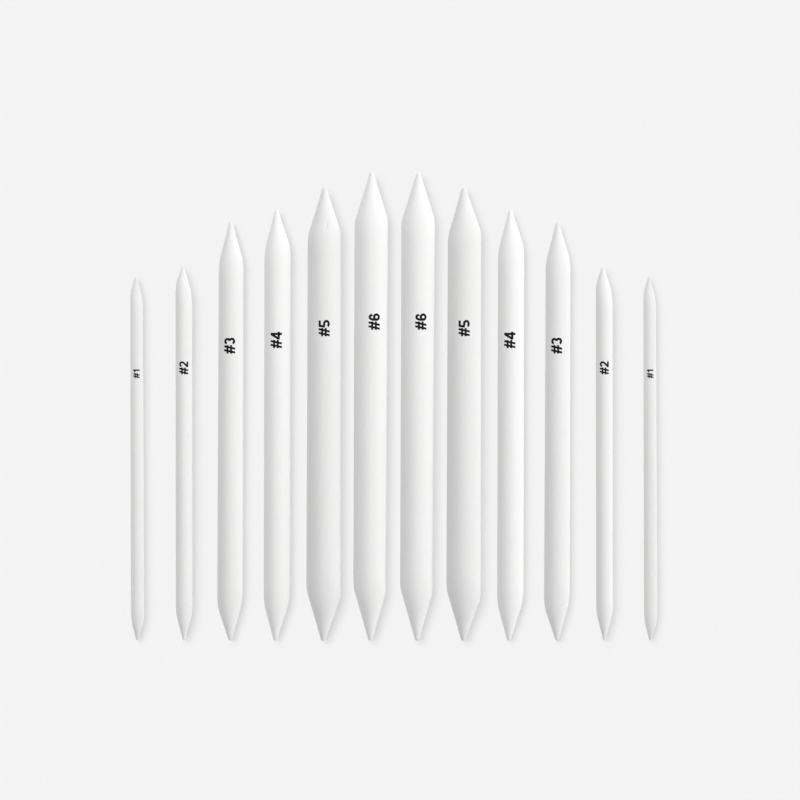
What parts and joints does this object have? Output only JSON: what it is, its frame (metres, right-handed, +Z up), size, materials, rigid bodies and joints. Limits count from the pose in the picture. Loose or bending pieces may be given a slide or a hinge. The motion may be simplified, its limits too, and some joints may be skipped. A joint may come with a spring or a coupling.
{
  "type": "blending stump set",
  "caption": "Graded set of double-ended white paper blending stumps, loose in a row, for smudging pencil, charcoal and pastel.",
  "frame": {"origin": "middle of the row's footprint, on the surface that the stumps lie on", "axes": "+Z up from the surface; X across the row, from the left stumps to the right ones; +Y along the stumps, towards their numbered ends"},
  "size_m": [0.1976, 0.175, 0.0129],
  "materials": {
    "cover_paper": "matte",
    "roll_paper": "matte",
    "size_mark_ink": "satin"
  },
  "bodies": {
    "stump_1_left": {"stump_1_left_roll": "roll_paper", "stump_1_left_cover": "cover_paper"},
    "stump_2_left": {"stump_2_left_roll": "roll_paper", "stump_2_left_cover": "cover_paper"},
    "stump_3_left": {"stump_3_left_roll": "roll_paper", "stump_3_left_cover": "cover_paper"},
    "stump_4_left": {"stump_4_left_roll": "roll_paper", "stump_4_left_cover": "cover_paper"},
    "stump_5_left": {"stump_5_left_roll": "roll_paper", "stump_5_left_cover": "cover_paper"},
    "stump_6_left": {"stump_6_left_roll": "roll_paper", "stump_6_left_cover": "cover_paper"},
    "stump_6_right": {"stump_6_right_roll": "roll_paper", "stump_6_right_cover": "cover_paper"},
    "stump_5_right": {"stump_5_right_roll": "roll_paper", "stump_5_right_cover": "cover_paper"},
    "stump_4_right": {"stump_4_right_roll": "roll_paper", "stump_4_right_cover": "cover_paper"},
    "stump_3_right": {"stump_3_right_roll": "roll_paper", "stump_3_right_cover": "cover_paper"},
    "stump_2_right": {"stump_2_right_roll": "roll_paper", "stump_2_right_cover": "cover_paper"},
    "stump_1_right": {"stump_1_right_roll": "roll_paper", "stump_1_right_cover": "cover_paper"}
  },
  "joints": [
    {"name": "stump_1_left_lift", "type": "slide", "parent": "stump_6_left", "child": "stump_1_left", "axis": [0, 0, 1], "range_m": [0, 0.04]},
    {"name": "stump_2_left_lift", "type": "slide", "parent": "stump_6_left", "child": "stump_2_left", "axis": [0, 0, 1], "range_m": [0, 0.04]},
    {"name": "stump_3_left_lift", "type": "slide", "parent": "stump_6_left", "child": "stump_3_left", "axis": [0, 0, 1], "range_m": [0, 0.04]},
    {"name": "stump_4_left_lift", "type": "slide", "parent": "stump_6_left", "child": "stump_4_left", "axis": [0, 0, 1], "range_m": [0, 0.04]},
    {"name": "stump_5_left_lift", "type": "slide", "parent": "stump_6_left", "child": "stump_5_left", "axis": [0, 0, 1], "range_m": [0, 0.04]},
    {"name": "stump_6_right_lift", "type": "slide", "parent": "stump_6_left", "child": "stump_6_right", "axis": [0, 0, 1], "range_m": [0, 0.04]},
    {"name": "stump_5_right_lift", "type": "slide", "parent": "stump_6_left", "child": "stump_5_right", "axis": [0, 0, 1], "range_m": [0, 0.04]},
    {"name": "stump_4_right_lift", "type": "slide", "parent": "stump_6_left", "child": "stump_4_right", "axis": [0, 0, 1], "range_m": [0, 0.04]},
    {"name": "stump_3_right_lift", "type": "slide", "parent": "stump_6_left", "child": "stump_3_right", "axis": [0, 0, 1], "range_m": [0, 0.04]},
    {"name": "stump_2_right_lift", "type": "slide", "parent": "stump_6_left", "child": "stump_2_right", "axis": [0, 0, 1], "range_m": [0, 0.04]},
    {"name": "stump_1_right_lift", "type": "slide", "parent": "stump_6_left", "child": "stump_1_right", "axis": [0, 0, 1], "range_m": [0, 0.04]}
  ]
}
